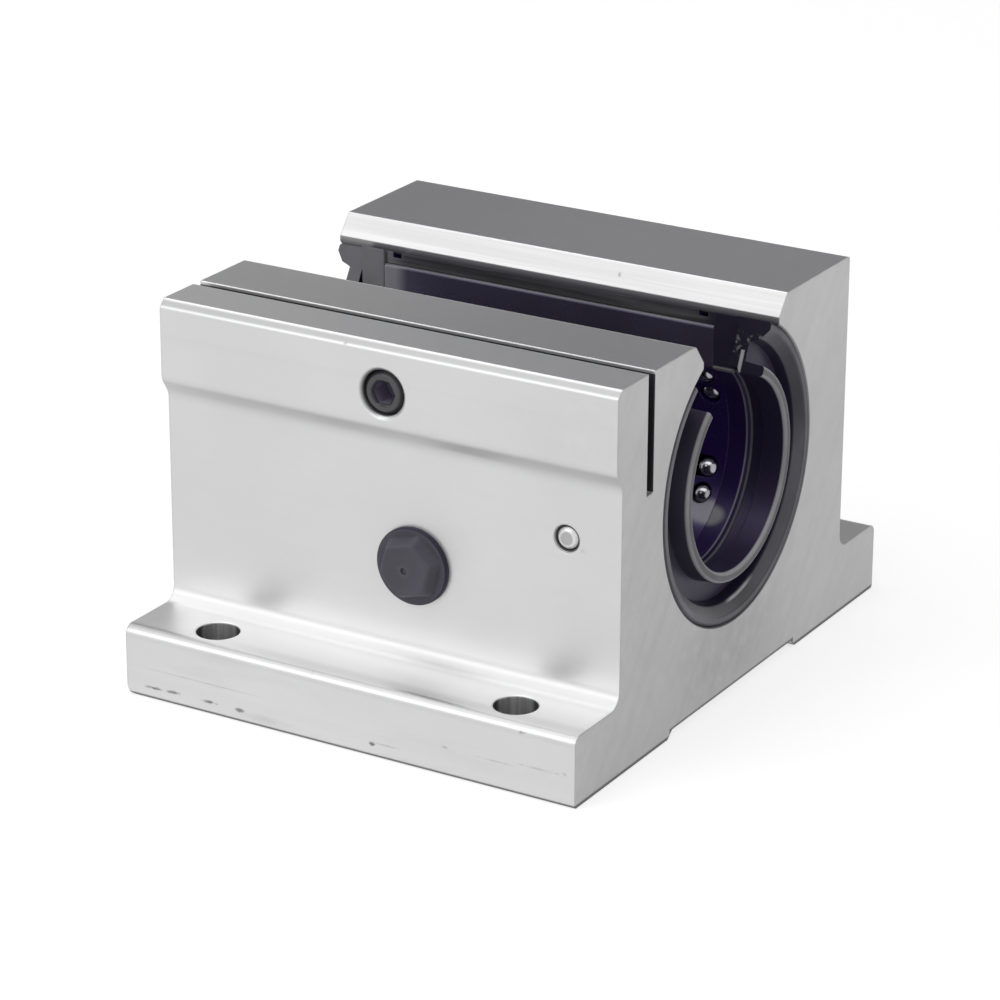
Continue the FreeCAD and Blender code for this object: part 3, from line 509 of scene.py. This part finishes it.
def finishMoulded(tree, shader, tone, rough, edge):
    mist, fine = grain(tree, moulding["mist"]), grain(tree, moulding["fine"])
    misty = step(tree, mist, *moulding["mistSpan"], 0.0, moulding["mistShare"])
    tone = blendColour(tree, misty, tone, moulding["mistTone"], "MULTIPLY")
    tree.links.new(tone, shader.inputs["Base Color"])
    gloss = plus(tree, step(tree, mist, *moulding["glossSpan"], *moulding["glossChange"]), rough)
    gloss = plus(tree, gloss, swing(tree, fine, moulding["fineGloss"]))
    tree.links.new(gloss, shader.inputs["Roughness"])
    shader.inputs["Specular Tint"].default_value = moulding["tint"]
    tree.links.new(bump(tree, fine, moulding["fineBump"], soften(tree, edge)), shader.inputs["Normal"])


def cutArea(tree, spec, y, z):
    # faces where the opening cuts a ring
    return both(tree, below(tree, size(tree, y), spec["cutHalf"]), above(tree, z, spec["cutAbove"]))


def paintedReflectionArea(tree, spec):
    # painted reflection: a soft pale patch in the bore
    return fade(tree, spread(tree, spec["paintedReflectionAt"], spec["paintedReflectionReach"]), *moulding["paintedReflectionOutline"])


cage = {
    "colour": (0.020, 0.009, 0.078), "rough": 0.28, "edge": 0.0002,
    # painted reflection: a pale patch low in the bore
    "paintedReflection": (0.33, 0.33, 0.335), "paintedReflectionAt": (0.0245, 0.0094, 0.0201),
    "paintedReflectionReach": (0.0052, 0.0034, 0.0018),
    # cut face: painted light, paler at the far end, with a painted highlight along its ledge
    "cutFacePaintedLight": (0.052, 0.046, 0.078), "cutHalf": 0.0087, "cutAbove": 0.0320,
    "farFacePaintedLight": (0.25, 0.25, 0.26), "farTo": (-0.0236, -0.0212),
    "ledgePaintedHighlight": (0.17, 0.17, 0.172), "ledgeFrom": (0.0459, 0.0461),
}


def makeCage(spec):
    material, tree, shader = startMaterial("cage_moulded")
    x, y, z = axesOf(tree)
    tone = blendColour(tree, paintedReflectionArea(tree, spec), spec["colour"], spec["paintedReflection"])
    # cut face: painted light, paler at the far end, with a painted highlight along the ledge
    face = blendColour(tree, step(tree, x, *spec["farTo"]), spec["farFacePaintedLight"], spec["cutFacePaintedLight"])
    face = blendColour(tree, step(tree, z, *spec["ledgeFrom"]), face, spec["ledgePaintedHighlight"])
    tone = blendColour(tree, cutArea(tree, spec, y, z), tone, face)
    finishMoulded(tree, shader, tone, spec["rough"], spec["edge"])
    return material


sleeveRing = {
    "colour": (0.021, 0.011, 0.068), "rough": 0.32, "edge": 0.0002, "mirror": 0.15,
    "axis": (0.0, 0.0, 0.03015),
    # painted reflection: a pale patch low in the bore
    "paintedReflection": (0.28, 0.28, 0.285), "paintedReflectionAt": (0.0252, 0.0096, 0.0198),
    "paintedReflectionReach": (0.0023, 0.0034, 0.0015),
    # cut faces: painted paler than the body as light falling on them, paler still at the rear end, in
    # painted shade at the front
    "sleeve": (0.070, 0.070, 0.075), "streaks": ((40.0, 1500.0, 1500.0), 3.0, 0.6),
    "streakSpan": (0.3, 0.7), "streakTones": (0.6, 1.5), "cutHalf": 0.0088, "cutAbove": 0.0320,
    "rearCutPaintedLight": (0.25, 0.25, 0.26), "rearTo": (-0.0262, -0.0215),
    "frontCutPaintedShade": (0.030, 0.026, 0.048), "frontFrom": (0.0225, 0.0255),
    # painted highlights: a pale inner edge of the front cut, and two fine lines round the bore of each ring
    "line": (0.24, 0.24, 0.25), "cutEdge": (0.01342, 0.01358),
    "linesAt": (0.02768, 0.02822), "lineHalf": (0.00007, 0.00017), "boreTo": (0.0141, 0.0142),
}


def makeSleeveRing(spec):
    material, tree, shader = startMaterial("sleeve_moulded")
    x, y, z = axesOf(tree)
    radius = spread(tree, spec["axis"], aboutX)
    streakTones = [shade(spec["sleeve"], share) for share in spec["streakTones"]]
    # cut face tones: painted light, paler at the rear, painted shade at the front
    face = blendColour(tree, step(tree, grain(tree, spec["streaks"]), *spec["streakSpan"]), *streakTones)
    face = blendColour(tree, step(tree, x, *spec["rearTo"]), spec["rearCutPaintedLight"], face)
    face = blendColour(tree, step(tree, x, *spec["frontFrom"]), face, spec["frontCutPaintedShade"])
    # painted highlights on the front cut's inner edge and as two lines round each bore
    cutEdge = both(tree, fade(tree, radius, *spec["cutEdge"]), above(tree, x, 0.0))
    face = blendColour(tree, cutEdge, face, spec["line"])
    out = size(tree, x)
    lines = [fade(tree, size(tree, minus(tree, out, at)), *spec["lineHalf"]) for at in spec["linesAt"]]
    inBore = both(tree, either(tree, *lines), fade(tree, radius, *spec["boreTo"]))
    tone = blendColour(tree, inBore, spec["colour"], spec["line"])
    tone = blendColour(tree, paintedReflectionArea(tree, spec), tone, spec["paintedReflection"])
    tone = blendColour(tree, cutArea(tree, spec, y, z), tone, face)
    shader.inputs["Specular IOR Level"].default_value = spec["mirror"]
    finishMoulded(tree, shader, tone, spec["rough"], spec["edge"])
    return material


endSeal = {
    "rough": 0.40, "cutRough": 0.80, "edge": 0.00018, "mirror": 0.3, "axis": (0.0, 0.0, 0.03015),
    "nearSide": (-0.014, -0.004),  # y where the side of the adjusting screw ends
    # groove, given painted light on the near side
    "groove": (0.022, 0.017, 0.044), "nearGroovePaintedLight": (0.075, 0.068, 0.100),
    # band: a cone inside a flat rim, the two in different tones as painted light and shade, a paler flat
    # rim near the screw, and painted shade up the plain side
    "band": (0.165, 0.165, 0.173), "bandFrom": (0.0173, 0.0176), "bandOut": (0.0318, 0.0322),
    "flatFrom": (0.0185, 0.0189),
    "bandTones": {"cone": 1.20, "flat": 0.90, "nearFlatPaintedLight": 1.50, "upConePaintedShade": 0.46, "upFlatPaintedShade": 0.95},
    "upAcross": (0.0, 0.014), "upRise": (0.026, 0.036),
    # painted shade along the outer edge, weaker on the near side
    "rimPaintedShade": (0.006, 0.005, 0.010), "rimFrom": (0.01932, 0.01957), "nearRimShare": 0.4,
    # painted reflection: a pale arc low on the groove
    "shine": (0.88, 0.88, 0.89), "shineAt": 0.01755, "shineHalf": (0.00006, 0.00024),
    "shineFrom": (-0.0012, 0.0008), "shineTo": (0.0040, 0.0070), "shineBelow": 0.020,
    # lip: two painted highlights on its edges beside a darker middle
    "lip": (0.22, 0.22, 0.225), "lipTo": (0.01425, 0.01435), "lipMid": 0.01345,
    "lipHalf": (0.00022, 0.00052), "lipTones": (0.85, 2.3), "noseFrom": (0.0331, 0.0334),
    # cut ends on the plain side, turned from upright by degrees; the rear cut face is painted light, the
    # front one painted shade with lighter bits and a painted highlight sliver
    "frontTurn": 24.0, "rearTurn": 31.0, "cutSoft": (0.00004, 0.00009),
    "rearCutPaintedLight": (0.18, 0.18, 0.187), "frontCutPaintedShade": (0.003, 0.0025, 0.006),
    "sliver": (0.42, 0.42, 0.43), "sliverAt": 0.0303, "sliverHalf": (0.00014, 0.00034), "sliverTo": 0.0157,
    "bits": (1100.0, 2.0, 0.5), "bitSpan": (0.54, 0.64), "bitShare": 0.8, "bitsFrom": (0.0147, 0.0152),
    "bitsTo": (0.0176, 0.0182),
}


def sealBand(tree, spec, near, radius, y, z):
    tones = {name: shade(spec["band"], share) for name, share in spec["bandTones"].items()}
    flat = step(tree, radius, *spec["flatFrom"])
    rim = blendColour(tree, near, tones["flat"], tones["nearFlatPaintedLight"])
    band = blendColour(tree, flat, tones["cone"], rim)
    upBand = blendColour(tree, flat, tones["upConePaintedShade"], tones["upFlatPaintedShade"])
    up = both(tree, step(tree, y, *spec["upAcross"]), step(tree, z, *spec["upRise"]))
    return blendColour(tree, up, band, upBand)


def sealFrontCut(tree, spec, radius, x):
    # scattered lighter bits and one painted highlight sliver on a face in painted shade
    bits = both(tree, step(tree, grain(tree, spec["bits"]), *spec["bitSpan"], 0.0, spec["bitShare"]),
                step(tree, radius, *spec["bitsFrom"]), fade(tree, radius, *spec["bitsTo"]))
    offSliver = size(tree, minus(tree, x, spec["sliverAt"]))
    sliver = both(tree, fade(tree, offSliver, *spec["sliverHalf"]), below(tree, radius, spec["sliverTo"]))
    face = blendColour(tree, bits, spec["frontCutPaintedShade"], spec["band"])
    return blendColour(tree, sliver, face, spec["sliver"])


def makeEndSeal(spec):
    material, tree, shader = startMaterial("seal_rubber")
    x, y, z = axesOf(tree)
    radius = spread(tree, spec["axis"], aboutX)
    out = size(tree, x)
    near = fade(tree, y, *spec["nearSide"])
    groove = blendColour(tree, near, spec["groove"], spec["nearGroovePaintedLight"])
    onBand = both(tree, step(tree, radius, *spec["bandFrom"]), step(tree, out, *spec["bandOut"]))
    tone = blendColour(tree, onBand, groove, sealBand(tree, spec, near, radius, y, z))
    # painted shade along the outer edge
    rimPaintedShade = both(tree, step(tree, radius, *spec["rimFrom"]),
                   blendNumber(tree, near, 1.0, spec["nearRimShare"]))
    tone = blendColour(tree, rimPaintedShade, tone, spec["rimPaintedShade"])
    # painted reflection low on the groove
    offShine = size(tree, minus(tree, radius, spec["shineAt"]))
    shine = both(tree, fade(tree, offShine, *spec["shineHalf"]), step(tree, y, *spec["shineFrom"]),
                 fade(tree, y, *spec["shineTo"]), below(tree, z, spec["shineBelow"]))
    tone = blendColour(tree, shine, tone, spec["shine"])
    # lip: painted highlights on its edges
    offLip = size(tree, minus(tree, radius, spec["lipMid"]))
    lipTones = [shade(spec["lip"], share) for share in spec["lipTones"]]
    lip = blendColour(tree, step(tree, offLip, *spec["lipHalf"]), *lipTones)
    nose = both(tree, fade(tree, radius, *spec["lipTo"]), step(tree, out, *spec["noseFrom"]))
    tone = blendColour(tree, nose, tone, lip)
    height = minus(tree, z, spec["axis"][2])
    rough = spec["rough"]
    for turn, side, face in ((spec["frontTurn"], above, sealFrontCut(tree, spec, radius, x)),
                             (spec["rearTurn"], below, spec["rearCutPaintedLight"])):
        angle = np.radians(turn)
        past = minus(tree, both(tree, y, float(np.cos(angle))), both(tree, height, float(np.sin(angle))))
        cut = both(tree, fade(tree, past, *spec["cutSoft"]), above(tree, y, 0.0), side(tree, x, 0.0),
                   above(tree, height, 0.0))
        tone = blendColour(tree, cut, tone, face)
        rough = blendNumber(tree, cut, rough, spec["cutRough"])
    shader.inputs["Specular IOR Level"].default_value = spec["mirror"]
    finishMoulded(tree, shader, tone, rough, spec["edge"])
    return material


dress(makeCage(cage), "ball_retainer")
dress(makeSleeveRing(sleeveRing), "outer_sleeve", "retainer_end_ring_front", "retainer_end_ring_rear")
dress(makeEndSeal(endSeal), "end_seal_front", "end_seal_rear")
print("bearing dressed")


# plug: moulded hexagon head, its sides in painted shade and its rim dark as painted shade, a little paler
# in its middle
plug = {
    "at": (0.0037, -0.0329, 0.0220), "rough": 0.50, "edge": 0.0004,
    "colour": (0.098, 0.097, 0.107), "side": (0.086, 0.084, 0.094), "faceTo": (-0.0327, -0.0324),
    "rim": (0.012, 0.011, 0.016), "rimFrom": (0.00490, 0.00505),
    "middleTo": (0.0006, 0.0011), "middleTone": 1.25,
}


def makePlug(spec):
    material, tree, shader = startMaterial("plug_moulded")
    y = axesOf(tree)[1]
    far = spread(tree, spec["at"], aboutY)
    tone = blendColour(tree, step(tree, y, *spec["faceTo"]), spec["colour"], spec["side"])
    tone = blendColour(tree, step(tree, far, *spec["rimFrom"]), tone, spec["rim"])
    middle = shade(spec["colour"], spec["middleTone"])
    tone = blendColour(tree, fade(tree, far, *spec["middleTo"]), tone, middle)
    finishMoulded(tree, shader, tone, spec["rough"], spec["edge"])
    return material


dress(makePlug(plug), "lubrication_plug")


# steel: balls, load plates, lock pin and adjusting screw
steel = {
    "cloud": (420.0, 3.0, 0.5), "cloudSpan": (0.3, 0.7), "cloudShare": 0.3, "cloudTone": (0.55, 0.55, 0.55),
    "fine": (6000.0, 2.0, 0.5),
}
balls = {"colour": (0.38, 0.38, 0.41), "metal": 1.0, "rough": 0.22, "grain": 0.03}
plates = {"colour": (0.30, 0.31, 0.33), "metal": 1.0, "rough": 0.26, "grain": 0.10}
lockPin = {
    "at": (0.025675, -0.0304, 0.03015), "metal": 0.6, "rough": 0.40, "grain": 0.12,
    "core": (0.50, 0.50, 0.50), "coreReach": (0.00075, 0.00105), "ring": (0.88, 0.88, 0.88),
    "rim": (0.05, 0.05, 0.05), "rimReach": (0.00140, 0.00150),
}
setScrew = {
    "at": (0.0, -0.0318, 0.04455), "metal": 0.3, "rough": 0.46, "grain": 0.12,
    "face": (0.096, 0.095, 0.104), "rim": (0.018, 0.018, 0.021), "rimReach": (0.00238, 0.00258),
    "mouth": (0.028, 0.027, 0.034), "mouthReach": (0.00164, 0.00184),
    "socket": (0.31, 0.29, 0.38), "socketFrom": (-0.03135, -0.03105),
}


def finishSteel(tree, shader, tone, spec):
    cloudy = step(tree, grain(tree, steel["cloud"]), *steel["cloudSpan"], 0.0, steel["cloudShare"])
    tone = blendColour(tree, cloudy, tone, steel["cloudTone"], "MULTIPLY")
    tree.links.new(tone, shader.inputs["Base Color"])
    change = swing(tree, grain(tree, steel["fine"]), spec["grain"])
    tree.links.new(calc(tree, "ADD", spec["rough"], change, clamp=True), shader.inputs["Roughness"])
    shader.inputs["Metallic"].default_value = spec["metal"]


def makePlainSteel(name, spec):
    material, tree, shader = startMaterial(name)
    finishSteel(tree, shader, spec["colour"], spec)
    return material


def makeLockPin(spec):
    # dull core inside a turned edge with a painted highlight ring, and painted shade on the rim beyond it
    material, tree, shader = startMaterial("pin_steel_turned")
    far = spread(tree, spec["at"], aboutY)
    tone = blendColour(tree, step(tree, far, *spec["coreReach"]), spec["core"], spec["ring"])
    tone = blendColour(tree, step(tree, far, *spec["rimReach"]), tone, spec["rim"])
    finishSteel(tree, shader, tone, spec)
    return material


def makeSetScrew(spec):
    # rim in painted shade, grey face, and a socket painted paler as light inside it, behind a mouth in
    # painted shade
    material, tree, shader = startMaterial("screw_blackened")
    y = axesOf(tree)[1]
    far = spread(tree, spec["at"], aboutY)
    tone = blendColour(tree, step(tree, far, *spec["rimReach"]), spec["face"], spec["rim"])
    inside = blendColour(tree, step(tree, y, *spec["socketFrom"]), spec["mouth"], spec["socket"])
    tone = blendColour(tree, fade(tree, far, *spec["mouthReach"]), tone, inside)
    finishSteel(tree, shader, tone, spec)
    return material


dress(makePlainSteel("ball_steel_polished", balls), *["ball_circuit_%d" % n for n in range(1, 6)])
dress(makePlainSteel("plate_steel_ground", plates), *["load_plate_%d" % n for n in range(1, 6)])
dress(makeLockPin(lockPin), "bearing_lock_pin")
dress(makeSetScrew(setScrew), "adjusting_screw")
print("plug and steel dressed")


# studio: white floor, two soft lamps, grey card behind
studio = {
    "floorSize": 4.0,
    "floorTone": 0.6,
    "floorGlow": 0.64,
    "world": 0.36,
    "key": {"at": (-0.14, -0.25, 1.05), "size": 1.0, "watts": 4.4},
    "fill": {"at": (-0.40, -0.67, 0.46), "size": 0.5, "watts": 1.15},
    "aim": (0.0, 0.0, 0.025),  # middle of the part, which both lamps face
    "card": {"low": (-0.9, 0.45, 0.10), "width": 1.9, "height": 0.75, "tone": 0.42},
}


def backdropFactor(tree):
    # camera, mirror and see-through rays meet the white backdrop
    path = addNode(tree, "ShaderNodeLightPath").outputs
    return either(tree, path["Is Camera Ray"], path["Is Glossy Ray"], path["Is Transmission Ray"])


def sheetMesh(name, corners):
    mesh = bpy.data.meshes.new(name)
    mesh.from_pydata(corners, [], [(0, 1, 2, 3)])
    thing = bpy.data.objects.new(name, mesh)
    scene.collection.objects.link(thing)
    return thing


def makeFloor(spec):
    half = spec["floorSize"] / 2
    floor = sheetMesh("floor", [(-half, -half, 0), (half, -half, 0), (half, half, 0), (-half, half, 0)])
    material, tree, shader = startMaterial("floor_white")
    shader.inputs["Base Color"].default_value = shade(white, spec["floorTone"]) + (1.0,)
    shader.inputs["Roughness"].default_value = 1.0
    shader.inputs["Specular IOR Level"].default_value = 0.0
    shader.inputs["Emission Color"].default_value = white + (1.0,)
    glow = both(tree, backdropFactor(tree), spec["floorGlow"])
    tree.links.new(glow, shader.inputs["Emission Strength"])
    floor.data.materials.append(material)


def makeCard(spec):
    x, y, z = spec["low"]
    w, h = spec["width"], spec["height"]
    card = sheetMesh("grey_card", [(x, y, z), (x + w, y, z), (x + w, y, z + h), (x, y, z + h)])
    material, _, shader = startMaterial("card_grey")
    shader.inputs["Base Color"].default_value = shade(white, spec["tone"]) + (1.0,)
    shader.inputs["Roughness"].default_value = 1.0
    card.data.materials.append(material)
    card.visible_camera = False


def makeWorld(spec):
    world = bpy.data.worlds.new("studio")
    world.use_nodes = True
    scene.world = world
    tree = world.node_tree
    light = tree.nodes["Background"]
    light.inputs["Color"].default_value = white + (1.0,)
    tree.links.new(blendNumber(tree, backdropFactor(tree), spec["world"], 1.0), light.inputs["Strength"])


def poseFrom(right, up, back, at):
    pose = np.eye(4)
    pose[:3, 0], pose[:3, 1], pose[:3, 2], pose[:3, 3] = right, up, back, at
    return Matrix(pose.tolist())


def levelAxes(back):
    # level right and the up that goes with it, for something that looks along -back
    right = np.cross((0.0, 0.0, 1.0), back)
    right /= np.linalg.norm(right)
    return right, np.cross(back, right)


def makeLamp(name, spec, aim):
    lamp = bpy.data.lights.new(name, "AREA")
    lamp.shape = "SQUARE"
    lamp.size = spec["size"]
    lamp.energy = spec["watts"]
    thing = bpy.data.objects.new(name, lamp)
    scene.collection.objects.link(thing)
    back = np.array(spec["at"]) - np.array(aim)
    back /= np.linalg.norm(back)
    thing.matrix_world = poseFrom(*levelAxes(back), back, spec["at"])
    thing.visible_camera = False


makeFloor(studio)
makeCard(studio["card"])
makeWorld(studio)
makeLamp("key_softbox", studio["key"], studio["aim"])
makeLamp("fill_softbox", studio["fill"], studio["aim"])
print("studio ready")


# camera at the photograph's place
viewpoint = {
    "azimuth": 30.796, "elevation": 21.3451, "roll": 0.2134,  # degrees
    "distance": 0.5281877, "right": -0.0015768, "up": 0.0185089,  # metres from the part's origin
    "lens": 141.868, "sensor": 36.0,  # millimetres
    "clip": (0.01, 20.0),
}


def makeCamera(spec):
    # axes from two angles, then turned about the line of sight by the roll
    azimuth, elevation, roll = np.radians([spec["azimuth"], spec["elevation"], spec["roll"]])
    level = np.array([np.sin(azimuth), -np.cos(azimuth), 0.0])
    back = level * np.cos(elevation) + np.array([0.0, 0.0, np.sin(elevation)])
    flat, rise = levelAxes(back)
    right = np.cos(roll) * flat + np.sin(roll) * rise
    up = np.cos(roll) * rise - np.sin(roll) * flat
    lens = bpy.data.cameras.new("camera")
    lens.lens = spec["lens"]
    lens.sensor_width = spec["sensor"]
    lens.sensor_fit = "HORIZONTAL"
    lens.clip_start, lens.clip_end = spec["clip"]
    camera = bpy.data.objects.new("camera", lens)
    scene.collection.objects.link(camera)
    at = right * spec["right"] + up * spec["up"] + back * spec["distance"]
    camera.matrix_world = poseFrom(right, up, back, at)
    scene.camera = camera


makeCamera(viewpoint)
print("camera set")
